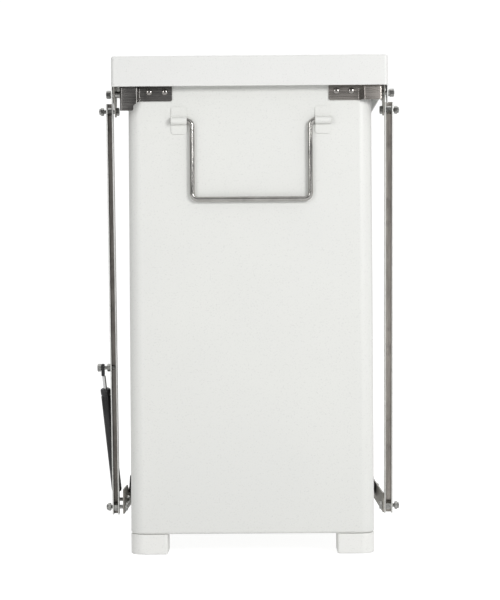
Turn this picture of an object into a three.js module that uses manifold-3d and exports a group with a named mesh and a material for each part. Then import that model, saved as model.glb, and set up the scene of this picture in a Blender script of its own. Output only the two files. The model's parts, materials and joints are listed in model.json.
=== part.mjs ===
// A step-on waste receptacle: a tall square steel body on four corner feet, an overhanging lid hinged at the
// back, two outside links that lift the lid when the front pedal is pressed, a soft-close damper beside the
// right-hand link, and a wire bail handle on the back.
// Millimetres, +Z up. The pedal is at the front (-Y), the hinge at the back (+Y), the damper on the right (+X).

import * as THREE from 'three';
import { mergeVertices } from 'three/addons/utils/BufferGeometryUtils.js';
import Module from 'manifold-3d';

const wasm = await Module();
wasm.setup();

// ---------------------------------------------------------------- driving dimensions
const PLAY = 0.3; // space left between pieces that touch
const CORNER_STEPS = 6; // facets in each rounded vertical corner
const ROUND_SIDES = 20; // facets round a pin, spacer or boss

const BODY = {
  halfWidth: 192.9, half: 190.5, bottom: 32, top: 776, corner: 22, edge: 4.5, sheet: 1.2, flange: 9,
};
const FOOT = { side: 59, innerCorner: 3 };
const LINER = { lip: 187.5, top: 179.5, base: 172, floor: 42, wall: 2.5, lipThick: 2.4, corner: 18, edge: 6 };
const LID = { half: 217.4, front: -206, rear: 208.5, skirt: 737, top: 785, sheet: 1.5, corner: 6, edge: 4 };

const HINGE = new THREE.Vector2(188.5, 726.4); // lid pivot, as (y, z)
const LID_SWING = THREE.MathUtils.degToRad(75);
const LINK_RISE = 44; // how far both links travel up as the lid opens
const LINK_FOOT = new THREE.Vector2(91.8, 64.5); // where a link meets its pedal arm, as (y, z)
const ARM_RADIUS = 190; // from the pedal's pivot to the foot of a link
const FULCRUM_RISE = 9; // how far the pedal's pivot is above the foot of a link

// The foot of a link swings from below the pedal's pivot to above it, and ends up this far forward.
const ARM_START = Math.asin(FULCRUM_RISE / ARM_RADIUS);
const ARM_END = Math.asin((LINK_RISE - FULCRUM_RISE) / ARM_RADIUS);
const LINK_LEAD = ARM_RADIUS * (Math.cos(ARM_START) - Math.cos(ARM_END));
const FULCRUM = LINK_FOOT.clone().add(new THREE.Vector2(-ARM_RADIUS * Math.cos(ARM_START), FULCRUM_RISE));

// The head of the link makes the same move about the lid's hinge, so the link stays parallel to itself.
const LEVER_RADIUS = Math.hypot(LINK_RISE, LINK_LEAD) / 2 / Math.sin(LID_SWING / 2);
const LEVER_DIP = LID_SWING / 2 + Math.atan2(LINK_LEAD, LINK_RISE);
const LINK_HEAD = HINGE.clone().add(
  new THREE.Vector2(-Math.cos(LEVER_DIP), -Math.sin(LEVER_DIP)).multiplyScalar(LEVER_RADIUS));

// Distances from the middle plane to the faces of each layer of the linkage, inner face first, on each side.
const LAYER = {
  [1]: { ear: [202.2, 204.2], lever: [212.8, 214.8], arm: [208.8, 211.3], link: [217.8, 228.8] },
  [-1]: { ear: [207.2, 209.2], lever: [211.3, 213.3], arm: [211.6, 214.1], link: [214.6, 228] },
};
const LID_SIDE = [LID.half - LID.sheet, LID.half];
const REAR_SHIFT = -1.8; // the hinge brackets and the handle sit a little to the left of the middle

const BOLT_R = 3.175; // quarter-inch bolt
const HOLE_R = BOLT_R + PLAY;
const HEX_R = 6.4; // across the corners of its hexagon, halved
const SPACER_R = 5.2;

const HEAD_THICK = 4.5; // of every bolt's hexagon
const NUT = {
  thick: 7.2, thin: 5.1, tip: 0.5,
  pivot: { [1]: 219, [-1]: 220.4 },
  linkTop: { [1]: 232.5, [-1]: 229.8 },
  linkBottom: { [1]: 231.2, [-1]: 231.3 },
};

const LINK = { ahead: 9, behind: 5.5, sheet: 2, overrun: 12.5, nose: 3 };
const LEVER = { round: 9, front: 142, back: 203, foot: 752, top: 781 };
const BRACKET = {
  sheet: 2, bottom: 715.2, top: 745, front: 178, standOff: 8, inner: { [1]: 124.3, [-1]: 122.7 },
  joggle: { [1]: [176.6, 178.8], [-1]: [170.5, 179.5] },
  tabBottom: 700, tabIn: 185, tabOut: 205.4, tabRound: 3,
};
const RIVET = {
  height: 729.5, headR: 5.15, domeHeight: 2.6, shankR: 2.4, tail: 3,
  at: { [1]: [133.9, 158.7], [-1]: [136.8, 160.2] },
};
const ARM = { tilt: THREE.MathUtils.degToRad(-0.5), below: 21.3, above: 9.9, rear: -202, front: 164, cut: 9 };
// The links lead the arms in mid swing, so the arms carry them in slots.
const SLOT = { reach: 8.8, lift: 0.25, radius: 4.6 };
const DAMPER_TAB = { rise: 9, from: -202, to: -126 };
const PEDAL = { rear: 98, front: 160, plateTop: 8, sheet: 2.5, lipDrop: 16, flangeDrop: 15 };
const PAD = { thick: 5, inset: 7, front: 1, bevel: 2 };
const PEDAL_RIVET = { along: 134, height: 0, headR: 5.5, headThick: 2.4, shankR: 2.8, tailR: 4.7, tailThick: 2 };
const BLOCK = {
  front: -121, back: { [1]: 15, [-1]: -45 }, heel: 62, heelBack: -72, bottom: 79.5, top: 107,
  outTop: 206.4, outBottom: 208.3, bossR: 8, boltEnd: 196,
};

const DAMPER = {
  upLink: 229.5, forward: 2, headX: 241.3, footX: 224, footAlong: -148, footHeight: -2.8,
  eyeR: 6.4, eyeThick: 5.2, eyeReach: 13, rodR: 3, rodEnd: 165,
  tubeR: 8.2, tubeTop: 36, tubeShort: 14, boreR: 3.4, boreEnd: 171,
  topHead: [244.5, 250], topTip: 222, bottomHead: [227.2, 231.7],
};

const HANDLE = {
  wireR: 3.95, pivot: new THREE.Vector2(196.7, 684), halfWidth: 93, drop: 124, end: 124, bendR: 9, sides: 12,
};
const LOOP = { from: 101, to: 126, bottom: 663, top: 706, sheet: 1.5 };

const ORIGIN_SHIFT = new THREE.Vector3(-5.5, 26.8, 0); // puts the origin under the middle of the whole object

// ---------------------------------------------------------------- materials
const paint = (color, roughness, metalness) => new THREE.MeshStandardMaterial({ color, roughness, metalness });
const MATERIAL = {
  bodyPaint: () => paint(0xe8e8e4, 0.45, 0),
  lidPaint: () => paint(0xededea, 0.4, 0),
  footPaint: () => paint(0xe4e4df, 0.5, 0),
  stainless: () => paint(0x9b9892, 0.35, 1),
  zinc: () => paint(0xb4b4b0, 0.35, 1),
  chrome: () => paint(0xd0d0d0, 0.15, 1),
  black: () => paint(0x1b1b1b, 0.6, 0),
  rubber: () => paint(0x181818, 0.9, 0),
  liner: () => paint(0x5c6063, 0.6, 0),
};

// ---------------------------------------------------------------- geometry helpers
// A closed skin over a run of rings of equal length. Each ring turns anticlockwise as seen from the next one.
function skin(rings) {
  const count = rings[0].length;
  const positions = [];
  const triangles = [];
  rings.flat().forEach((p) => positions.push(p.x, p.y, p.z));
  for (let r = 0; r + 1 < rings.length; r++) {
    for (let i = 0; i < count; i++) {
      const j = (i + 1) % count;
      const [a, b, c, d] = [r * count + i, r * count + j, (r + 1) * count + j, (r + 1) * count + i];
      triangles.push(a, b, c, a, c, d);
    }
  }
  const cap = (ring, start, facesBack) => {
    const middle = ring.reduce((sum, p) => sum.add(p), new THREE.Vector3()).divideScalar(count);
    const hub = positions.length / 3;
    positions.push(middle.x, middle.y, middle.z);
    for (let i = 0; i < count; i++) {
      const j = (i + 1) % count;
      triangles.push(...(facesBack ? [hub, start + j, start + i] : [hub, start + i, start + j]));
    }
  };
  cap(rings[0], 0, true);
  cap(rings[rings.length - 1], (rings.length - 1) * count, false);
  const geometry = new THREE.BufferGeometry();
  geometry.setAttribute('position', new THREE.Float32BufferAttribute(positions, 3));
  geometry.setIndex(triangles);
  return geometry;
}

// A level rounded rectangle, anticlockwise from above, as one ring for skin().
function levelRing(halfX, halfY, radius, z, middleY = 0) {
  const ring = [];
  for (let corner = 0; corner < 4; corner++) {
    const signX = corner === 0 || corner === 3 ? 1 : -1;
    const signY = corner < 2 ? 1 : -1;
    for (let step = 0; step <= CORNER_STEPS; step++) {
      const angle = (corner + step / CORNER_STEPS) * Math.PI / 2;
      ring.push(new THREE.Vector3(
        signX * (halfX - radius) + radius * Math.cos(angle),
        middleY + signY * (halfY - radius) + radius * Math.sin(angle), z));
    }
  }
  return ring;
}

// A tube of wire along a flat path in the XZ plane; each path entry is { at, along }.
function wire(path, radius, sides) {
  const across = new THREE.Vector3(0, 1, 0);
  return skin(path.map(({ at, along }) => {
    const side = new THREE.Vector3().crossVectors(across, along).normalize();
    return Array.from({ length: sides }, (_, i) => {
      const angle = 2 * Math.PI * i / sides;
      return at.clone()
        .addScaledVector(side, radius * Math.cos(angle)).addScaledVector(across, radius * Math.sin(angle));
    });
  }));
}

function outline(points, holes = []) {
  const shape = new THREE.Shape(points);
  shape.holes = holes.map((hole) => new THREE.Path(hole));
  return shape;
}

const circlePoints = (centre, radius, sides = ROUND_SIDES, from = 0, sweep = 2 * Math.PI) => {
  const full = sweep >= 2 * Math.PI;
  return Array.from({ length: full ? sides : sides + 1 }, (_, i) => {
    const angle = from + sweep * i / sides;
    return new THREE.Vector2(centre.x + radius * Math.cos(angle), centre.y + radius * Math.sin(angle));
  });
};

const hexPoints = (centre, radius) => circlePoints(centre, radius, 6, Math.PI / 6);

// A hole stretched from one centre to another.
function slotPoints(a, b, radius) {
  const heading = Math.atan2(b.y - a.y, b.x - a.x);
  const half = ROUND_SIDES / 2;
  return [
    ...circlePoints(b, radius, half, heading - Math.PI / 2, Math.PI),
    ...circlePoints(a, radius, half, heading + Math.PI / 2, Math.PI),
  ];
}

// An outline drawn in (y, z) pushed sideways between two distances from the middle plane.
function sideways(shape, side, [near, far]) {
  const geometry = new THREE.ExtrudeGeometry(shape, { depth: far - near, bevelEnabled: false });
  geometry.applyMatrix4(new THREE.Matrix4().makeBasis(
    new THREE.Vector3(0, 1, 0), new THREE.Vector3(0, 0, 1), new THREE.Vector3(1, 0, 0)));
  return geometry.translate(side > 0 ? near : -far, 0, 0);
}

// An outline drawn in (x, y) raised between two heights.
function upward(shape, [low, high]) {
  return new THREE.ExtrudeGeometry(shape, { depth: high - low, bevelEnabled: false }).translate(0, 0, low);
}

// An outline drawn in (x, z) pushed back between two depths.
function backward(shape, [front, back]) {
  return new THREE.ExtrudeGeometry(shape, { depth: back - front, bevelEnabled: false })
    .rotateX(Math.PI / 2).translate(0, back, 0);
}

function toSolid(geometry) {
  const bare = geometry.clone();
  bare.deleteAttribute('normal');
  bare.deleteAttribute('uv');
  const merged = mergeVertices(bare, 1e-4);
  return new wasm.Manifold(new wasm.Mesh({
    numProp: 3,
    vertProperties: new Float32Array(merged.attributes.position.array),
    triVerts: new Uint32Array(merged.index.array),
  }));
}

function toGeometry(solid) {
  const mesh = solid.getMesh();
  const geometry = new THREE.BufferGeometry();
  geometry.setAttribute('position', new THREE.BufferAttribute(mesh.vertProperties, 3));
  geometry.setIndex(new THREE.BufferAttribute(mesh.triVerts, 1));
  return geometry;
}

const join = (...parts) => toGeometry(parts.map(toSolid).reduce((a, b) => a.add(b)));
const overlap = (a, b) => toGeometry(toSolid(a).intersect(toSolid(b)));
const cut = (whole, ...tools) => toGeometry(tools.map(toSolid).reduce((a, b) => a.subtract(b), toSolid(whole)));

// ---------------------------------------------------------------- scene graph
const bin = new THREE.Group();
bin.position.copy(ORIGIN_SHIFT);

function place(name, geometry, material, parent = bin) {
  const mesh = new THREE.Mesh(geometry, material());
  mesh.name = name;
  parent.add(mesh);
  return mesh;
}

const SIDES = [{ side: 1, word: 'right' }, { side: -1, word: 'left' }];

// ---------------------------------------------------------------- fasteners, all lying along X
function hexBolt(centre, side, head, tip) {
  const headFace = Math.abs(tip - head[0]) > Math.abs(tip - head[1]) ? head[1] : head[0];
  const root = 1; // how far the shank runs into the head so that the two join
  const shank = tip > headFace ? [headFace - root, tip] : [tip, headFace + root];
  return join(
    sideways(outline(hexPoints(centre, HEX_R)), side, head),
    sideways(outline(circlePoints(centre, BOLT_R)), side, shank));
}

// Where a bolt's head lies when it bears against the inner face of a layer.
const headInside = ([near]) => [near - PLAY - HEAD_THICK, near - PLAY];

const hexRing = (centre, side, span) =>
  sideways(outline(hexPoints(centre, HEX_R), [circlePoints(centre, HOLE_R)]), side, span);

const roundRing = (centre, side, span, radius = SPACER_R) =>
  sideways(outline(circlePoints(centre, radius), [circlePoints(centre, HOLE_R)]), side, span);

// ---------------------------------------------------------------- body, feet and liner
function bodyShell() {
  const { halfWidth, half, bottom, top, corner, edge, sheet, flange } = BODY;
  const ring = (inset, z) => levelRing(halfWidth - inset, half - inset, Math.max(corner - inset, 2), z);
  const rounded = [0, 1, 2, 3].map((step) => {
    const angle = step / 3 * Math.PI / 2;
    return ring(edge * (1 - Math.sin(angle)), bottom + edge * (1 - Math.cos(angle)));
  });
  const shell = skin([
    ...rounded,
    ring(0, top), ring(flange, top), ring(flange, top - sheet),
    ring(sheet, top - sheet), ring(sheet, bottom + edge), ring(edge, bottom + sheet),
  ]);
  const rivetHoles = SIDES.flatMap(({ side }) => RIVET.at[side].map((x) => backward(
    outline(circlePoints(new THREE.Vector2(side * x, RIVET.height), RIVET.shankR + PLAY)),
    [half - 2 * sheet, half + sheet])));
  return cut(shell, ...rivetHoles);
}

function foot(signX, signY) {
  const { halfWidth, half, corner, bottom } = BODY;
  const { side, innerCorner: r } = FOOT;
  const innerX = halfWidth - side;
  const innerY = half - side;
  const arcs = [
    { x: halfWidth - corner, y: half - corner, radius: corner, from: 0 },
    { x: innerX + r, y: half - r, radius: r, from: Math.PI / 2 },
    { x: innerX + r, y: innerY + r, radius: r, from: Math.PI },
    { x: halfWidth - r, y: innerY + r, radius: r, from: 3 * Math.PI / 2 },
  ];
  const points = arcs.flatMap(({ x, y, radius, from }) =>
    circlePoints(new THREE.Vector2(x, y), radius, CORNER_STEPS, from, Math.PI / 2));
  return upward(outline(points.map((p) => new THREE.Vector2(signX * p.x, signY * p.y))), [0, bottom - PLAY]);
}

function innerLiner() {
  const { lip, top, base, floor, wall, lipThick, corner, edge } = LINER;
  const ring = (half, z, radius = corner) => levelRing(half, half, radius, z);
  const seat = BODY.top + PLAY;
  return skin([
    ring(base - edge, floor, corner - edge), ring(base, floor + edge),
    ring(top, seat), ring(lip, seat), ring(lip, seat + lipThick), ring(top - wall, seat + lipThick),
    ring(base - wall, floor + edge), ring(base - edge, floor + wall, corner - edge),
  ]);
}

place('body_shell', bodyShell(), MATERIAL.bodyPaint);
place('inner_liner', innerLiner(), MATERIAL.liner);
for (const { side, word } of SIDES) {
  place(`foot_front_${word}`, foot(side, -1), MATERIAL.footPaint);
  place(`foot_rear_${word}`, foot(side, 1), MATERIAL.footPaint);
}

// ---------------------------------------------------------------- hinge brackets riveted to the back
function hingeBracket(side) {
  const { sheet, bottom, top, front, standOff } = BRACKET;
  const inner = BRACKET.inner[side];
  const [joggleIn, joggleOut] = BRACKET.joggle[side];
  const seat = BODY.half + PLAY;
  const face = BODY.half + standOff;
  const [earIn, earOut] = LAYER[side].ear.map((x) => x - side * REAR_SHIFT);
  const lean = sheet / 2; // keeps the slanting step as thick as the sheet
  const points = [
    [inner, seat], [joggleIn + lean, seat], [joggleOut + lean, face], [earIn, face], [earIn, front],
    [earOut, front], [earOut, face + sheet], [joggleOut - lean, face + sheet], [joggleIn - lean, seat + sheet],
    [inner, seat + sheet],
  ].map(([x, y]) => new THREE.Vector2(side * x + REAR_SHIFT, y));
  const strip = upward(outline(points), [bottom, top]);
  const pinHole = sideways(outline(circlePoints(HINGE, HOLE_R)), side, [earIn - sheet, earOut + sheet]);
  const rivetHoles = RIVET.at[side].map((x) => backward(
    outline(circlePoints(new THREE.Vector2(side * x, RIVET.height), RIVET.shankR + PLAY)),
    [seat - sheet, seat + 2 * sheet]));
  return cut(side > 0 ? join(strip, dampedSideTab(face)) : strip, pinHole, ...rivetHoles);
}

// The damper side's bracket reaches lower behind the step.
function dampedSideTab(face) {
  const { tabIn, tabOut, tabBottom, tabRound, sheet, bottom } = BRACKET;
  const low = tabBottom + tabRound;
  const points = [
    new THREE.Vector2(tabOut, bottom + sheet), new THREE.Vector2(tabIn, bottom + sheet),
    ...circlePoints(new THREE.Vector2(tabIn + tabRound, low), tabRound, CORNER_STEPS, Math.PI, Math.PI / 2),
    ...circlePoints(new THREE.Vector2(tabOut - tabRound, low), tabRound, CORNER_STEPS, -Math.PI / 2, Math.PI / 2),
  ];
  return backward(outline(points), [face, face + sheet]).translate(REAR_SHIFT, 0, 0);
}

function hingeRivet(x) {
  const { headR, domeHeight, shankR, height, tail } = RIVET;
  const seat = BODY.half + 2 * PLAY + BRACKET.sheet;
  const domeSteps = 4;
  const end = BODY.half - seat - tail;
  const profile = [new THREE.Vector2(0, end), new THREE.Vector2(shankR, end), new THREE.Vector2(shankR, 0)];
  for (let step = 0; step <= domeSteps; step++) {
    const angle = step / domeSteps * Math.PI / 2;
    profile.push(new THREE.Vector2(step === domeSteps ? 0 : headR * Math.cos(angle), domeHeight * Math.sin(angle)));
  }
  return new THREE.LatheGeometry(profile, ROUND_SIDES).translate(x, seat, height);
}

for (const { side, word } of SIDES) {
  place(`hinge_bracket_${word}`, hingeBracket(side), MATERIAL.stainless);
  RIVET.at[side].forEach((x, i) =>
    place(`hinge_rivet_${word}_${i ? 'outer' : 'inner'}`, hingeRivet(side * x), MATERIAL.zinc));
  const { ear, lever } = LAYER[side];
  const nut = NUT.pivot[side];
  place(`hinge_pivot_bolt_${word}`, hexBolt(HINGE, side, headInside(ear), nut + NUT.thick + NUT.tip), MATERIAL.zinc);
  place(`hinge_bushing_${word}`, roundRing(HINGE, side, [ear[1] + PLAY, lever[0] - PLAY]), MATERIAL.zinc);
  place(`hinge_pivot_nut_${word}`, join(
    roundRing(HINGE, side, [LID.half + PLAY, nut + PLAY]),
    hexRing(HINGE, side, [nut, nut + NUT.thick])), MATERIAL.zinc);
}

// ---------------------------------------------------------------- lid and its levers
function lidShell() {
  const { half, front, rear, skirt, top, sheet, corner, edge } = LID;
  const middleY = (front + rear) / 2;
  const halfY = (rear - front) / 2;
  const ring = (inset, z) => levelRing(half - inset, halfY - inset, Math.max(corner - inset, 1.5), z, middleY);
  const rounded = [0, 1, 2, 3].map((step) => {
    const angle = step / 3 * Math.PI / 2;
    return ring(edge * (1 - Math.cos(angle)), top - edge * (1 - Math.sin(angle)));
  });
  const tray = skin([ring(sheet, top - sheet), ring(sheet, skirt), ring(0, skirt), ...rounded]);
  const earR = 16.5;
  const ears = SIDES.map(({ side }) => sideways(outline([
    new THREE.Vector2(HINGE.x + earR, skirt + edge), new THREE.Vector2(HINGE.x - earR, skirt + edge),
    ...circlePoints(HINGE, earR, CORNER_STEPS * 2, Math.PI, Math.PI),
  ]), side, LID_SIDE));
  const pinHole = sideways(outline(circlePoints(HINGE, HOLE_R)), 1, [-half - sheet, half + sheet]);
  return cut(join(tray, ...ears), pinHole);
}

function lidLever(side) {
  const { round, front, back, foot: shoulder, top } = LEVER;
  const facing = Math.atan2(HINGE.y - LINK_HEAD.y, HINGE.x - LINK_HEAD.x) - Math.PI / 2;
  const points = [
    new THREE.Vector2(back, top), new THREE.Vector2(front, top), new THREE.Vector2(front, shoulder),
    ...circlePoints(LINK_HEAD, round, CORNER_STEPS, Math.PI, facing + Math.PI),
    ...circlePoints(HINGE, round, CORNER_STEPS, facing, -facing),
    new THREE.Vector2(back, shoulder),
  ];
  const holes = [circlePoints(HINGE, HOLE_R), circlePoints(LINK_HEAD, HOLE_R)];
  return sideways(outline(points, holes), side, LAYER[side].lever);
}

place('lid_shell', lidShell(), MATERIAL.lidPaint);
for (const { side, word } of SIDES) place(`lid_lever_${word}`, lidLever(side), MATERIAL.stainless);

// ---------------------------------------------------------------- links
const LINK_LENGTH = LINK_HEAD.distanceTo(LINK_FOOT);
const LINK_LEAN = Math.atan2(LINK_HEAD.x - LINK_FOOT.x, LINK_HEAD.y - LINK_FOOT.y);

// A point on a link, from how far up it is from the foot and how far forward of its centre line.
const onLink = (up, forward) => new THREE.Vector2(
  LINK_FOOT.x + up * Math.sin(LINK_LEAN) - forward * Math.cos(LINK_LEAN),
  LINK_FOOT.y + up * Math.cos(LINK_LEAN) + forward * Math.sin(LINK_LEAN));

const DAMPER_HEAD = onLink(DAMPER.upLink, DAMPER.forward);

// A channel, open to the back, with its web along the front.
function link(side) {
  const { ahead, behind, sheet, overrun, nose } = LINK;
  const [near, far] = LAYER[side].link;
  const profile = [
    onLink(-overrun + nose, ahead), onLink(-overrun, ahead - nose), onLink(-overrun, -behind + nose),
    onLink(-overrun + nose, -behind), onLink(LINK_LENGTH + overrun - nose, -behind),
    onLink(LINK_LENGTH + overrun, -behind + nose), onLink(LINK_LENGTH + overrun, ahead - nose),
    onLink(LINK_LENGTH + overrun - nose, ahead),
  ];
  const past = 2 * overrun;
  const hollow = sideways(outline([onLink(-past, -past), onLink(LINK_LENGTH + past, -past),
    onLink(LINK_LENGTH + past, ahead - sheet), onLink(-past, ahead - sheet)]), side, [near + sheet, far - sheet]);
  const holes = [LINK_FOOT, LINK_HEAD].map((centre) =>
    sideways(outline(circlePoints(centre, HOLE_R)), side, [near - sheet, far + sheet]));
  const damperHole = sideways(outline(circlePoints(DAMPER_HEAD, HOLE_R)), side, [far - 2 * sheet, far + sheet]);
  return cut(sideways(outline(profile), side, [near, far]), hollow, ...holes, ...(side > 0 ? [damperHole] : []));
}

for (const { side, word } of SIDES) {
  place(`link_${word}`, link(side), MATERIAL.stainless);
  const { lever, arm, link: [near, far] } = LAYER[side];
  const inside = [near + LINK.sheet + PLAY, far - LINK.sheet - PLAY];
  for (const [end, centre, against, nuts] of [
    ['top', LINK_HEAD, lever, NUT.linkTop], ['bottom', LINK_FOOT, arm, NUT.linkBottom]]) {
    const nut = nuts[side];
    const tip = nut + NUT.thick + NUT.tip;
    place(`link_${end}_bolt_${word}`, hexBolt(centre, side, headInside(against), tip), MATERIAL.zinc);
    place(`link_${end}_spacer_${word}`, hexRing(centre, side, inside), MATERIAL.zinc);
    place(`link_${end}_nut_${word}`, hexRing(centre, side, [nut, nut + NUT.thick]), MATERIAL.zinc);
  }
}

// ---------------------------------------------------------------- pedal
// A point on a pedal arm, from how far it is in front of the pivot and how far above the pivot's line.
const onArm = (along, height) => new THREE.Vector2(
  FULCRUM.x - along * Math.cos(ARM.tilt) + height * Math.sin(ARM.tilt),
  FULCRUM.y + along * Math.sin(ARM.tilt) + height * Math.cos(ARM.tilt));

const DAMPER_FOOT = onArm(DAMPER.footAlong, DAMPER.footHeight);

function pedalArm(side) {
  const { below, above, rear, front, cut: chamfer } = ARM;
  const { rise, from, to } = DAMPER_TAB;
  const upperEdge = side > 0
    ? [onArm(to + rise, above), onArm(to, above + rise), onArm(from + chamfer / 2, above + rise),
      onArm(from, above + rise - chamfer / 2)]
    : [onArm(rear + chamfer, above), onArm(rear, above - chamfer)];
  const points = [
    onArm(rear, -below + chamfer / 3), onArm(rear + chamfer / 3, -below), onArm(front - chamfer, -below),
    onArm(front, -below + chamfer), onArm(front, above - chamfer), onArm(front - chamfer, above), ...upperEdge,
  ];
  const slotAt = (centre) => slotPoints(new THREE.Vector2(centre.x, centre.y + SLOT.lift),
    new THREE.Vector2(centre.x - SLOT.reach, centre.y + SLOT.lift), SLOT.radius);
  const holes = [
    circlePoints(FULCRUM, HOLE_R),
    circlePoints(onArm(PEDAL_RIVET.along, PEDAL_RIVET.height), PEDAL_RIVET.shankR + PLAY),
    slotAt(LINK_FOOT),
  ];
  if (side > 0) holes.push(slotAt(DAMPER_FOOT));
  return sideways(outline(points, holes), side, LAYER[side].arm);
}

// How far the crossbar reaches towards each arm.
const barReach = (side) => LAYER[side].arm[0] - PLAY;

// A folded tread with a turned-down front lip and an end flange riveted inside each arm.
function pedalCrossbar() {
  const { rear, front, plateTop, sheet, lipDrop, flangeDrop } = PEDAL;
  const low = plateTop - sheet;
  const tread = sideways(outline([
    onArm(rear, plateTop), onArm(rear, low), onArm(front - sheet, low), onArm(front - sheet, plateTop - lipDrop),
    onArm(front, plateTop - lipDrop), onArm(front, plateTop),
  ]), 1, [-barReach(-1), barReach(1)]);
  const flangeTop = plateTop - sheet / 2;
  const flangeFront = front - 2 * sheet;
  const flanges = SIDES.map(({ side }) => sideways(outline([
    onArm(rear + flangeDrop, flangeTop), onArm(rear + flangeDrop, plateTop - flangeDrop),
    onArm(flangeFront, plateTop - flangeDrop), onArm(flangeFront, flangeTop),
  ]), side, [barReach(side) - sheet, barReach(side)]));
  const hole = sideways(outline(circlePoints(
    onArm(PEDAL_RIVET.along, PEDAL_RIVET.height), PEDAL_RIVET.shankR + PLAY)), 1, [-LID.half, LID.half]);
  return cut(join(tread, ...flanges), hole);
}

function pedalPad() {
  const { thick, inset, front: setBack, bevel } = PAD;
  const low = PEDAL.plateTop + PLAY;
  const rear = PEDAL.rear + inset;
  const front = PEDAL.front - setBack;
  return sideways(outline([
    onArm(rear, low), onArm(front, low), onArm(front, low + thick - bevel), onArm(front - bevel, low + thick),
    onArm(rear + bevel, low + thick), onArm(rear, low + thick - bevel),
  ]), 1, [inset - barReach(-1), barReach(1) - inset]);
}

function pedalRivet(side) {
  const centre = onArm(PEDAL_RIVET.along, PEDAL_RIVET.height);
  const outside = LAYER[side].arm[1] + PLAY;
  const inside = barReach(side) - PEDAL.sheet - PLAY;
  const { headR, headThick, shankR, tailR, tailThick } = PEDAL_RIVET;
  return join(
    sideways(outline(circlePoints(centre, headR)), side, [outside, outside + headThick]),
    sideways(outline(circlePoints(centre, shankR)), side, [inside - tailThick / 2, outside + headThick / 2]),
    sideways(outline(circlePoints(centre, tailR)), side, [inside - tailThick, inside]));
}

// A bracket on the body's side, wider at its foot, with a boss that the arm bears against.
function fulcrumBlock(side) {
  const { front, back: backs, heel, heelBack, bottom, top, outTop, outBottom, bossR, boltEnd } = BLOCK;
  const back = backs[side];
  const inner = BODY.halfWidth + PLAY;
  const armFace = LAYER[side].arm[0];
  const wedge = backward(outline([
    [inner, heel], [outBottom, heel], [outBottom, bottom], [outTop, top], [inner, top],
  ].map(([x, z]) => new THREE.Vector2(side * x, z))), [front, back]);
  const face = sideways(outline([[front, heel], [heelBack, heel], [heelBack + bottom - heel, bottom], [back, bottom],
    [back, top], [front + top - bottom, top], [front, bottom]].map(([y, z]) => new THREE.Vector2(y, z))),
  side, [BODY.halfWidth, armFace]);
  const boss = sideways(outline(circlePoints(FULCRUM, bossR)), side, [boltEnd, armFace - PLAY]);
  const bore = sideways(outline(circlePoints(FULCRUM, HOLE_R)), side, [boltEnd - PLAY, armFace]);
  return cut(join(overlap(wedge, face), boss), bore);
}

for (const { side, word } of SIDES) {
  place(`pedal_arm_${word}`, pedalArm(side), MATERIAL.stainless);
  place(`pedal_rivet_${word}`, pedalRivet(side), MATERIAL.zinc);
  place(`fulcrum_block_${word}`, fulcrumBlock(side), MATERIAL.black);
  const head = LAYER[side].arm[1] + PLAY;
  place(`fulcrum_bolt_${word}`, hexBolt(FULCRUM, side, [head, head + HEAD_THICK], BLOCK.boltEnd), MATERIAL.zinc);
}
place('pedal_crossbar', pedalCrossbar(), MATERIAL.stainless);
place('pedal_pad', pedalPad(), MATERIAL.rubber);

// ---------------------------------------------------------------- soft-close damper on the right
const damperTop = new THREE.Vector3(DAMPER.headX, DAMPER_HEAD.x, DAMPER_HEAD.y);
const damperBottom = new THREE.Vector3(DAMPER.footX, DAMPER_FOOT.x, DAMPER_FOOT.y);
const damperLine = damperBottom.clone().sub(damperTop);
const damperLength = damperLine.length();
const damperLean = Math.atan2(DAMPER_HEAD.x - DAMPER_FOOT.x, DAMPER_HEAD.y - DAMPER_FOOT.y);

// Round pieces of the damper are turned about its own axis, with distances measured down from the top eye.
const damperAxis = new THREE.Group();
damperAxis.position.copy(damperTop);
damperAxis.quaternion.setFromUnitVectors(new THREE.Vector3(0, -1, 0), damperLine.clone().normalize());
bin.add(damperAxis);

const turned = (profile) =>
  new THREE.LatheGeometry(profile.map(([radius, down]) => new THREE.Vector2(radius, -down)), ROUND_SIDES);

// A flat eye round a bolt, with a neck towards the damper.
function damperEye(centre, x, towards) {
  const { eyeR, eyeThick, eyeReach } = DAMPER;
  const along = (distance, across) => new THREE.Vector2(
    centre.x + towards * (-distance * Math.sin(damperLean)) + across * Math.cos(damperLean),
    centre.y + towards * (-distance * Math.cos(damperLean)) - across * Math.sin(damperLean));
  const neck = eyeR * 0.72;
  const points = [
    ...circlePoints(centre, eyeR, ROUND_SIDES / 2, towards > 0 ? -damperLean : Math.PI - damperLean, Math.PI),
    along(eyeReach, towards > 0 ? -neck : neck), along(eyeReach, towards > 0 ? neck : -neck),
  ];
  return sideways(outline(points, [circlePoints(centre, HOLE_R)]), 1, [x - eyeThick / 2, x + eyeThick / 2]);
}

const { rodR, rodEnd, tubeR, tubeTop, tubeShort, boreR, boreEnd, eyeReach, headX, footX } = DAMPER;
const tubeEnd = damperLength - tubeShort;
place('damper_rod_eye', damperEye(DAMPER_HEAD, headX, 1), MATERIAL.black);
place('damper_end_eye', damperEye(DAMPER_FOOT, footX, -1), MATERIAL.zinc);
place('damper_rod', turned([
  [0, rodEnd], [rodR, rodEnd], [rodR, eyeReach + 1], [0, eyeReach + 1],
]), MATERIAL.chrome, damperAxis);
place('damper_tube', turned([
  [0, tubeEnd], [tubeR - 2, tubeEnd], [tubeR, tubeEnd - 2], [tubeR, tubeTop + 1.5], [tubeR - 1.5, tubeTop],
  [boreR, tubeTop], [boreR, boreEnd], [0, boreEnd],
]), MATERIAL.black, damperAxis);
const damperNut = LAYER[1].link[1] + PLAY;
const damperFootNut = LAYER[1].arm[0] - PLAY - NUT.thin;
place('damper_top_bolt', hexBolt(DAMPER_HEAD, 1, DAMPER.topHead, DAMPER.topTip), MATERIAL.zinc);
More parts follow.
